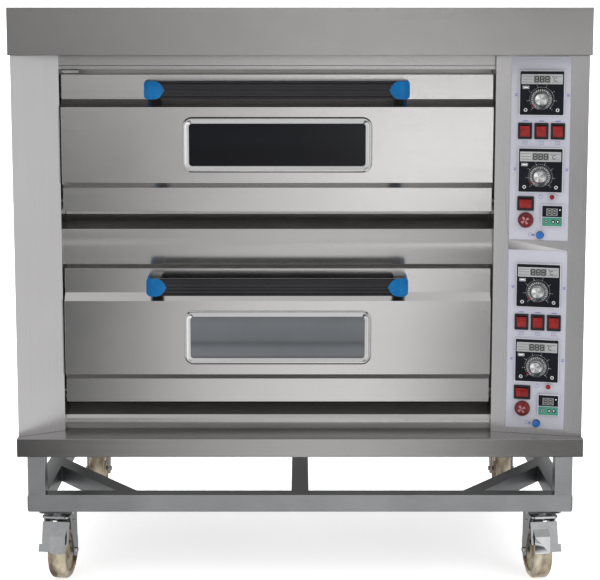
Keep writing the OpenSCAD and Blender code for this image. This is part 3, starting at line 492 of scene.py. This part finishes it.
def thermostat_face(deck, row):
    """The black face, its display strip, the printed scale and the two small lamps."""
    finishes = [face_black, strip_silver, print_dark, lcd_grey, print_white, print_grey]
    black, silver, dark, lcd, white, grey = range(len(finishes))
    x, z = CONTROL_X, thermostat_z[deck, row]
    strip_z, dial_z, lamp_z = z + 29.5, z - DIAL_DROP, z - 36
    printed, on_strip = FACE_Y - .9, FACE_Y - 1.3
    bm = bmesh.new()
    slab(bm, x, z, 93, 93, FACE_Y - .7, FACE_Y, 2.0, .5, black)

    # the strip: three lines at the left, two at the right, the digits and their unit between
    slab(bm, x, strip_z, 88, 21, FACE_Y - 1.1, FACE_Y - .6, 1.0, .2, silver)
    for side, rows in ((-1, (-6, 0, 6)), (1, (-6, 6))):
        for k in rows:
            bar_mark(bm, x + side * 31, strip_z + k, 21 - side, .7, FACE_Y - 1.25, dark)
    slab(bm, x, strip_z, 36, 16, on_strip, FACE_Y - .8, .8, .2, lcd)
    for k in (-1, 0, 1):
        digit(bm, x + k * 11.2, strip_z, 9.4, 13.4, FACE_Y - 1.5, black)
    ring_mark(bm, x + 23.2, z + 34, 1.3, .7, on_strip, dark, 14)
    ring_mark(bm, x + 29, z + 29, 3.8, 1.5, on_strip, dark, 24, 45, 315)

    # the scale round the dial
    scale_start, scale_sweep = 225, 270
    ring_mark(bm, x, dial_z, 25.6, .35, printed, grey, 60, -50, 230)
    for k in range(29):
        a = math.radians(scale_start - scale_sweep * k / 28)
        r, length, width, shade = (26.8, 2.4, .6, white) if k % 4 == 0 else (26.4, 1.4, .35, grey)
        bar_mark(bm, x + r * math.cos(a), dial_z + r * math.sin(a), length, width, printed, shade, a)
    for k in range(8):
        a = math.radians(scale_start - scale_sweep * k / 7)
        bar_mark(bm, x + 31 * math.cos(a), dial_z + 31 * math.sin(a), 1.0, 1.9, printed, grey)

    for side in (-1, 1):
        lamp_x = x + side * 34
        ring_mark(bm, lamp_x, lamp_z, 3.1, 1.0, FACE_Y - 1.0, white, 18)
        lathe(bm, lamp_x, lamp_z, [(0, FACE_Y - 1.4), (1.8, FACE_Y - 1.2), (2.4, FACE_Y - .7)], 14, dark)

    # a plain framed sign at the upper left of the dial
    sign = ((0, 2.7, 13, .6), (0, -2.7, 13, .6), (-6.4, 0, .6, 6), (6.4, 0, .6, 6), (0, 0, 10, 2.4))
    for px, pz, w, h in sign:
        bar_mark(bm, x - 34 + px, z + 12.1 + pz, w, h, printed, white)
    piece(f"thermostat_face_{deck}_{row}", bm, finishes, "cabinet", place=PANEL)


def dial_piece(deck, row):
    """A turned grip on a skirt with rings, a white scale and a red pointer."""
    node = f"dial_{deck}_{row}"
    spot = panel_spot(node)
    finishes = [skirt_metal, spun, print_white, lamp_red]
    skirt, turned, white, red = range(len(finishes))
    place = PANEL @ Matrix.Translation((spot.x * MM, (FACE_Y - .3) * MM, spot.z * MM))
    bm = bmesh.new()
    grip = [(0, -18), (9.5, -18), (10.5, -17.9), (11.6, -17.2), (12.4, -15), (12.5, -7.4)]
    flange = [(13.2, -6.8), (14.4, -6.0), (15.2, -5.6), (15.8, -5.2), (16.4, -5.6), (19.6, -5.1),
              (20.2, -4.8), (20.8, -5.1), (22.4, -4.6), (23, -3.9), (23, -.2), (22, 0)]
    shaft = [(3.0, 0), (3.0, 19)]
    profile = grip + flange + shaft
    # The grip takes the spun metal with its painted highlights; the flange and shaft take the skirt metal.
    bands = [turned] * len(grip) + [skirt] * (len(flange) + 1)
    lathe(bm, 0, 0, profile, 64, bands)
    for k in range(24):
        a = math.radians(232 - 284 * k / 23)
        length = 4.0 if k % 3 == 0 else 2.4
        bar_mark(bm, 19.4 * math.cos(a), 19.4 * math.sin(a), length, .55, -5.7, white, a, .4)
    a = math.radians(218)
    for q, wide in ((21.5, 4.8), (23.5, 3.4), (25.3, 2.0)):
        bar_mark(bm, q * math.cos(a), q * math.sin(a), 2.6, wide, -5.2, red, a, 1.4)
    ob = piece(f"{node}_turned", bm, finishes, node, place=place)
    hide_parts(node)


def timer_face(deck, x, z):
    """A white frame, a dark window with two digits and a green strip with three keys."""
    finishes = [plate_white, face_black, keypad_green, lcd_grey, print_white]
    white_frame, black, green, lcd, white = range(len(finishes))
    key_z = z - 12.5
    bm = bmesh.new()
    slab(bm, x, z, 47.4, 47.4, FACE_Y - .8, FACE_Y, 2.0, .5, white_frame)
    slab(bm, x, z + 9.4, 42.5, 24, FACE_Y - 1.2, FACE_Y - .6, 1.0, .3, black)
    slab(bm, x, z - 13, 42.5, 18.4, FACE_Y - 1.2, FACE_Y - .6, 1.0, .3, green)
    slab(bm, x - .4, z + 8, 24, 15.5, FACE_Y - 1.5, FACE_Y - 1.1, .6, .2, lcd)
    for k in (-1, 1):
        digit(bm, x - .4 + k * 5.4, z + 8, 8.4, 12.4, FACE_Y - 1.7, black)
    lathe(bm, x + 16.5, z + 13, [(0, FACE_Y - 1.6), (1.2, FACE_Y - 1.5), (1.5, FACE_Y - 1.1)], 12, white)

    # a ring on the first key, an arrow up on the second and an arrow down on the third
    for px, up in ((-12.5, 0), (2.5, 1), (12.5, -1)):
        lathe(bm, x + px, key_z, [(0, FACE_Y - 1.8), (3.2, FACE_Y - 1.7), (4.0, FACE_Y - 1.1)], 20, black)
        if up == 0:
            ring_mark(bm, x + px, key_z, 2.4, .6, FACE_Y - 2.0, white, 16)
        else:
            arrow = ((-2.4, -1.4), (2.4, -1.4), (0, 2.0))
            loops = [[(x + px + q, FACE_Y - rise, key_z + up * s) for q, s in arrow] for rise in (2.0, 1.7)]
            loft(bm, loops, white)
    piece(f"timer_face_{deck}", bm, finishes, "cabinet", place=PANEL)


def buzzer_dome(deck, x, z):
    """A low red dome on a flange, with four leaf-shaped marks."""
    base_r, rise = 15.6, 4.6
    angles = [math.radians(a) for a in range(0, 91, 10)]
    dome = [(base_r * math.sin(a), SHEET - 9 - rise * math.cos(a)) for a in angles]
    bm = bmesh.new()
    lathe(bm, x, z, dome + [(base_r, SHEET - 3), (17, SHEET - 2.4), (17, SHEET)], 48)
    near, far = 1.5, 8.2
    leaf = [(near, -1.0), (far, -2.9), (far + .8, 0), (far, 2.9), (near, 1.0)]
    front = SHEET - 13.75
    for k in range(4):
        a = math.radians(33 + 90 * k)
        c, s = math.cos(a), math.sin(a)
        flat = [(x + p * c - q * s, z + p * s + q * c) for p, q in leaf]
        loft(bm, [[(px, front, pz) for px, pz in flat], [(px, front + 1.6, pz) for px, pz in flat]], 1)
    piece(f"buzzer_dome_{deck}", bm, [dome_red, dome_mark], "cabinet", place=PANEL)


def lamp_lens(deck, x, z):
    """A small red lens in a white bezel."""
    angles = [math.radians(a) for a in range(0, 91, 15)]
    lens = [(5.6 * math.sin(a), SHEET - 4.2 - 3 * math.cos(a)) for a in angles]
    bezel = [(5.5, SHEET - 4.8), (6.2, SHEET - 5.2), (7.2, SHEET - 4.6), (7.8, SHEET - 1.2), (7.8, SHEET)]
    bm = bmesh.new()
    lathe(bm, x, z, lens, 28)
    lathe(bm, x, z, bezel, 28, 1)
    piece(f"lamp_lens_{deck}", bm, [lamp_red, plate_white], "cabinet", place=PANEL)


def push_button(deck):
    """A round blue cap on its stem."""
    node = f"push_button_{deck}"
    spot = panel_spot(node)
    profile = [(0, -8.6), (5.4, -8.4), (7.2, -7.8), (8.0, -6.6), (8.1, -5.4), (6.0, -5.2), (6.0, 12.0)]
    bm = bmesh.new()
    lathe(bm, spot.x, spot.z, profile, 36)
    ob = piece(f"{node}_cap", bm, [button_blue], node, place=PANEL)
    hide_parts(node)


def small_marks(deck):
    """Plain printed signs by the controls, without words."""
    bm = bmesh.new()
    y = SHEET - .3
    top, bottom = thermostat_z[deck, "top"], thermostat_z[deck, "bottom"]

    # a bar above and a framed sign below each small rocker
    sign = ((0, 3.2, 9, .7), (0, -3.2, 9, .7), (-4.5, 0, .7, 8), (4.5, 0, .7, 8), (0, 0, 3, 1))
    for k in (-1, 0, 1):
        x = CONTROL_X + 35 * k
        bar_mark(bm, x, top - 59.5, 11, 2.0, y)
        for px, pz, w, h in sign:
            bar_mark(bm, x + px, top - 106 + pz, w, h, y)

    # beside each thermostat
    for side in (-1, 1):
        for z in (top - 2, bottom + 4):
            bar_mark(bm, CONTROL_X + side * 55.5, z, 6.5, 1.4, y)
            bar_mark(bm, CONTROL_X + side * 55.5, z - 3.4, 4.5, 3.0, y)

    # an open ring with a bar above the main rocker, and a ring with a block beside the push button
    z = bottom - 57
    ring_mark(bm, CONTROL_X + 1, z, 4.2, .8, y, 0, 24, 110, 430)
    bar_mark(bm, CONTROL_X + 1, z + 4, .9, 4.6, y)
    z = panel_spot(f"push_button_{deck}").z
    ring_mark(bm, CONTROL_X - 20, z + 1, 3.6, .8, y, 0, 20)
    bar_mark(bm, CONTROL_X - 13.5, z, 5, 4, y)
    piece(f"panel_marks_{deck}", bm, [print_blue], "cabinet", place=PANEL)


for deck in DECKS:
    for row in ("top", "bottom"):
        thermostat_face(deck, row)
        dial_piece(deck, row)
    top = thermostat_z[deck, "top"]
    timer_face(deck, CONTROL_X + TIMER_AT[0], top + TIMER_AT[1])
    buzzer_dome(deck, CONTROL_X + BUZZER_AT[0], top + BUZZER_AT[1])
    lamp_lens(deck, CONTROL_X + LAMP_AT[0], top + LAMP_AT[1])
    push_button(deck)
    small_marks(deck)


# ---------------------------------------------------------------- doors

def window_frame(deck):
    """A rolled bevel round the window, and a sleeve through the door."""
    node = f"door_{deck}_window_frame"
    low, high = (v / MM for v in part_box(node))
    cx, cz = (low.x + high.x) / 2, (low.z + high.z) / 2
    w, h = high.x - low.x, high.z - low.z
    face = low.y + 3.5
    # (inset, depth) pairs: over the bevel from its outer edge, then back through the door
    section = ((0, face), (0, face - .8), (.6, face - 1.5), (3.4, face - 3.4), (5.2, face - 3.5),
               (6.4, face - 3.2), (13.4, face - .9), (14.2, face - .2), (14.2, face + 1.2),
               (12.6, face + 1.4), (12.6, high.y - .2), (11.4, high.y), (10.6, high.y - .2),
               (10.6, face + .4))
    loops = [rounded_loop(cx, cz, w - 2 * a, h - 2 * a, max(21 - a, 3), y, 8) for a, y in section]
    bm = bmesh.new()
    loft(bm, loops, closed=True)
    ob = piece(f"{node}_rolled", bm, [window_steel], f"door_{deck}", angle=28)
    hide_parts(node)


def handle_bar(deck):
    """An extruded black bar with grooves along its front."""
    node = f"door_{deck}_handle_bar"
    low, high = (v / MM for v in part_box(node))
    cy, cz = (low.y + high.y) / 2, (low.z + high.z) / 2
    d, h = (high.y - low.y) / 2, (high.z - low.z) / 2
    steps, grooves, groove_depth, into_cap = 88, 5, 2.6, 20
    outline = []
    for i in range(steps):
        a = 2 * math.pi * i / steps
        c, s = math.cos(a), math.sin(a)
        y = cy - d * math.copysign(abs(c) ** .45, c)
        z = cz + h * math.copysign(abs(s) ** .6, s)
        t = (z - cz) / h
        if y < cy and abs(t) < .9:
            y += groove_depth * ((1 + math.cos(t * math.pi * grooves)) / 2) ** .7
        outline.append((y, z))
    bm = bmesh.new()
    loft(bm, [[(x, y, z) for y, z in outline] for x in (low.x - into_cap, low.x, high.x, high.x + into_cap)])
    ob = piece(f"{node}_ribbed", bm, [bar_black], f"door_{deck}", angle=30)
    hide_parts(node)


def cap_half_height(t):
    """Half the height of a handle's cap: t runs from its outer end (0) to its point (1)."""
    full = 19.6
    if t < .16:
        return full * (.74 + .26 * math.sin(t / .16 * math.pi / 2))
    if t < .5:
        return full
    return max(full * math.cos((t - .5) / .5 * math.pi / 2) ** .62, 1.2)


def handle_ends(deck):
    """At each end a black bracket from the door to the bar, with a blue shell on its outer side and a blue
    leaf-shaped cap in front."""
    node = f"door_{deck}_handle_ends"
    low, high = (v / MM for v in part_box(node))
    front = low.y
    cz = (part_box(f"door_{deck}_handle_bar")[0].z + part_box(f"door_{deck}_handle_bar")[1].z) / 2 / MM
    finishes = [bar_black, handle_blue]
    black, blue = range(len(finishes))

    def bracket(x, shrink, lower_rear):
        """The bracket's side view at x, shrunk a little. lower_rear holds its last two corners' heights."""
        points = [(front + 15, -13), (front + 12, -8), (front + 12, 8), (front + 15, 17), (front + 30, 20),
                  (high.y, 21.5), (high.y, lower_rear[0]), (front + 34, lower_rear[1])]
        return [(x, y + (shrink if y < front + 20 else 0), cz + z * (1 - shrink * .03)) for y, z in points]

    def cap_loop(x, t):
        """The cap's section at x: rounded in front, and flat at the back."""
        half = cap_half_height(t)
        ridge = front + 14 * (1 - min(t / .36, 1)) ** 1.1 + 5.0 * max(0, (t - .36) / .64) ** 1.6
        back = max(ridge + 1.4, front + 7.2)
        rising = [(back, -1), (ridge + 1.6, -.97), (ridge + .35, -.8), (ridge, -.4)]
        falling = [(y, -share) for y, share in reversed(rising)]
        return [(x, y, cz + half * share) for y, share in rising + falling]

    # (distance from the outer end, shrink)
    shell = ((1.2, 2.0), (2.2, .5), (7, 0))
    core = ((7.2, .8), (27, .8), (30, 2.2))
    cap_length, rows = 44, 13
    bm = bmesh.new()
    for side in (-1, 1):
        outer = low.x if side < 0 else high.x
        loft(bm, [bracket(outer - side * x, shrink, (12, 8)) for x, shrink in shell], blue)
        loft(bm, [bracket(outer - side * x, shrink, (3, -2)) for x, shrink in core], black)
        shares = [i / (rows - 1) for i in range(rows)]
        loft(bm, [cap_loop(outer - side * t * cap_length, t) for t in shares], blue)
    ob = piece(f"{node}_capped", bm, finishes, f"door_{deck}", angle=32)
    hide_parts(node)


def door_catch():
    """A small folded steel catch in the slit over the upper door, at its left end."""
    x0, x1 = door_low["upper"].x + 4, door_low["upper"].x + 40
    y, z = door_low["upper"].y + 4, door_high["upper"].z + 4
    section = [(0, 0), (1.2, 0), (1.2, 5.4), (1.8, 6.2), (16, 6.2), (16, 7.4), (1.4, 7.4), (.4, 7.0),
               (0, 6.2)]
    stations = ((x0, .5), (x0 + .5, 0), (x1 - 12, 0), (x1 - .5, 0), (x1, .5))
    bm = bmesh.new()
    loft(bm, [[(x, y + a + shift, z + b) for a, b in section] for x, shift in stations])
    piece("door_catch", bm, [window_steel], "cabinet", angle=30)


def pan_screws(name, spots, place):
    """Low pan heads with a cross slot, facing the front of the frame they are placed in."""
    bm = bmesh.new()
    for x, z in spots:
        lathe(bm, x, z, [(0, -1.9), (2.2, -1.8), (3.6, -1.2), (4.2, -.3), (4.2, .2)], 20)
        for turn in (.4, .4 + math.pi / 2):
            bar_mark(bm, x, z, 4.4, .9, -2.0, 1, turn, .3)
    piece(name, bm, [zinc, print_dark], "cabinet", place=place)


def spread(low, high, count):
    """So many places from low to high, evenly."""
    return [low + (high - low) * k / (count - 1) for k in range(count)]


def cabinet_screws():
    """Screws round the back panel, and down the rear edge of each side."""
    low, high = (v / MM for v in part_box("back_panel"))
    side_low, side_high = (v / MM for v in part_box("left_casing"))
    margin = 14
    across = spread(low.x + margin, high.x - margin, 6)
    up = spread(low.z + margin, high.z - margin, 5)
    edge = [(-x, z) for x in across for z in (up[0], up[-1])]
    edge += [(-x, z) for x in (across[0], across[-1]) for z in up[1:-1]]
    facing_back = Matrix.Translation((0, high.y * MM, 0)) @ Matrix.Rotation(math.pi, 4, "Z")
    pan_screws("back_screws", edge, facing_back)
    heights = spread(side_low.z + 30, side_high.z - 60, 4)
    rear = side_high.y - 16
    for name, side, x in (("left", -1, side_low.x), ("right", 1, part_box("right_casing")[1].x / MM)):
        place = Matrix.Translation((x * MM, 0, 0)) @ Matrix.Rotation(side * math.pi / 2, 4, "Z")
        pan_screws(f"side_screws_{name}", [(side * rear, z) for z in heights], place)


def tube_plugs():
    """Domed plastic plugs in the open ends of the stand's lower front and rear tubes."""
    low, high = (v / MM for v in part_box("stand_lower_frame"))
    # (width, corner radius, depth): the dome, its rim against the tube, and the stem inside
    rows = ((20, 3, -2.6), (30, 3.4, -2.3), (35.6, 3.6, -1.3), (36.8, 3.4, -.4), (36.8, 3.4, .1), (34, 3, .3),
            (34, 3, 9))
    for name, side, x in (("left", -1, low.x), ("right", 1, high.x)):
        bm = bmesh.new()
        for y in (low.y + TUBE / 2, high.y - TUBE / 2):
            loft(bm, [rounded_loop(side * y, low.z + TUBE / 2, w, w, r, depth, 4) for w, r, depth in rows])
        place = Matrix.Translation((x * MM, 0, 0)) @ Matrix.Rotation(side * math.pi / 2, 4, "Z")
        piece(f"tube_plugs_{name}", bm, [black_plastic], "cabinet", place=place)


door_catch()
cabinet_screws()
tube_plugs()
for deck in DECKS:
    window_frame(deck)
    handle_bar(deck)
    handle_ends(deck)


# ---------------------------------------------------------------- stage, light and camera

def stage_sweep():
    """A pale floor that curves up behind the oven, which its steel doesn't mirror."""
    half_width, near, bend, bend_r, top = 40, -40, 5, 3, 9
    angles = [math.radians(a) for a in range(6, 91, 6)]
    profile = [(near, 0), (bend, 0)]
    profile += [(bend + bend_r * math.sin(a), bend_r - bend_r * math.cos(a)) for a in angles]
    profile += [(bend + bend_r, top)]
    bm = bmesh.new()
    rings = [[bm.verts.new((x, y, z)) for x in (-half_width, half_width)] for y, z in profile]
    for a, b in zip(rings, rings[1:]):
        bm.faces.new((a[0], a[1], b[1], b[0]))
    mesh = bpy.data.meshes.new("sweep")
    bm.to_mesh(mesh)
    bm.free()
    mesh.polygons.foreach_set("use_smooth", [True] * len(mesh.polygons))
    floor = surface("pale_floor", (.88, .88, .88), (.9, .9, .9), (.8, .85), 0.0, .7, (6, 6, 6), 0)
    shader = floor.node_tree.nodes["Principled BSDF"]
    shader.inputs["Emission Color"].default_value = (1, 1, 1, 1)
    shader.inputs["Emission Strength"].default_value = .58
    mesh.materials.append(floor)
    ob = bpy.data.objects.new("sweep", mesh)
    ob.visible_glossy = False
    scene.collection.objects.link(ob)


def area(name, where, look, size, power):
    """A soft rectangular lamp, which neither the camera nor the steel sees."""
    lamp = bpy.data.lights.new(name, "AREA")
    lamp.shape = "RECTANGLE"
    lamp.size, lamp.size_y = size
    lamp.energy = power
    ob = bpy.data.objects.new(name, lamp)
    ob.location = where
    ob.rotation_euler = (Vector(look) - Vector(where)).to_track_quat("-Z", "Y").to_euler()
    ob.visible_camera = False
    ob.visible_glossy = False
    scene.collection.objects.link(ob)


# Brightness of the soft surroundings in front of the oven, from the left (0) to the right (1): well below the
# horizon, just below it, at it and above it. Then that overhead and behind, and the scale of them all.
FACING_DOWN = ((.04, .9), (.2, 1.0), (.29, 1.4), (.315, .25), (.37, .06), (.43, .08), (.475, 1.05),
               (.53, 1.25), (.56, .06), (.64, .1), (.7, 2.0), (.8, 1.2), (.95, .8))
FACING_LEVEL = ((.04, .9), (.2, 1.0), (.29, 1.4), (.315, .25), (.37, .05), (.435, .14), (.5, 1.0),
                (.555, 4.0), (.62, 2.2), (.7, 1.9), (.8, 1.2), (.95, .7))
FACING_EYE = ((.04, .9), (.29, 1.2), (.33, .6), (.38, .8), (.44, .95), (.47, .8), (.5, 1.05), (.53, .55),
              (.56, .01), (.59, .5), (.7, 1.4), (.95, .8))
FACING_UP = ((.04, .9), (.29, 1.0), (.36, .07), (.43, .09), (.475, .95), (.53, 1.2), (.56, .45), (.64, .45),
             (.7, 1.2), (.95, .8))
OVERHEAD = .85
BEHIND = .4
BRIGHTEST = 4.0


def studio_world():
    """Soft light all round, patchy in front of the oven as a workshop is."""
    world = bpy.data.worlds.new("studio")
    scene.world = world
    world.use_nodes = True
    tree = world.node_tree
    background = tree.nodes["Background"]
    ways = tree.nodes.new("ShaderNodeSeparateXYZ")
    link(tree, tree.nodes.new("ShaderNodeTexCoord").outputs["Generated"], ways.inputs[0])
    across = tree.nodes.new("ShaderNodeMapRange")
    across.inputs["From Min"].default_value = -1.0
    link(tree, ways.outputs["X"], across.inputs["Value"])

    def span(value, low, high):
        """0 below low and 1 above high, with a soft step between."""
        node = tree.nodes.new("ShaderNodeMapRange")
        node.interpolation_type = "SMOOTHSTEP"
        node.inputs["From Min"].default_value = low
        node.inputs["From Max"].default_value = high
        link(tree, value, node.inputs["Value"])
        return node.outputs["Result"]

    def levels(stops):
        grey_stops = [(at, level / BRIGHTEST) for at, level in stops]
        return grey_ramp(tree, across.outputs["Result"], grey_stops)

    def mixed(factor, a, b):
        """From a to b, which is a socket or a shade."""
        node = tree.nodes.new("ShaderNodeMix")
        node.data_type = "RGBA"
        link(tree, factor, node.inputs["Factor"])
        link(tree, a, node.inputs["A"])
        if isinstance(b, float):
            node.inputs["B"].default_value = (b, b, b, 1)
        else:
            link(tree, b, node.inputs["B"])
        return node.outputs["Result"]

    up = ways.outputs["Z"]
    front = mixed(span(up, -.107, -.047), levels(FACING_DOWN), levels(FACING_LEVEL))
    front = mixed(span(up, -.038, -.018), front, levels(FACING_EYE))
    front = mixed(span(up, .05, .11), front, levels(FACING_UP))
    front = mixed(span(up, .35, .5), front, OVERHEAD / BRIGHTEST)
    around = mixed(span(ways.outputs["Y"], -.3, .1), front, BEHIND / BRIGHTEST)
    link(tree, around, background.inputs["Color"])
    background.inputs["Strength"].default_value = BRIGHTEST


stage_sweep()
studio_world()
area("key", (2.6, -3.6, 2.9), (0, 0, .7), (2.4, 2.4), 45)
area("fill", (-3.0, -3.4, 1.8), (0, 0, .7), (2.0, 2.4), 12)
area("top", (0, -.6, 4.2), (0, 0, .6), (3.4, 2.6), 60)
area("backdrop_light", (0, 2.6, 5.5), (0, 7.0, 1.5), (9, 2), 420)

# The photo's point of view: a long lens a little above the doors, tilted down
CAMERA_AT = (0, -3.914, 1.1835)
CAMERA_TILT = 7.74
camera_data = bpy.data.cameras.new("camera")
camera_data.sensor_width = 36
camera_data.lens = 99
camera_data.shift_y = -.04
camera = bpy.data.objects.new("camera", camera_data)
camera.location = CAMERA_AT
camera.rotation_euler = (math.radians(90 - CAMERA_TILT), 0, 0)
scene.collection.objects.link(camera)
scene.camera = camera
scene.view_settings.view_transform = "Standard"
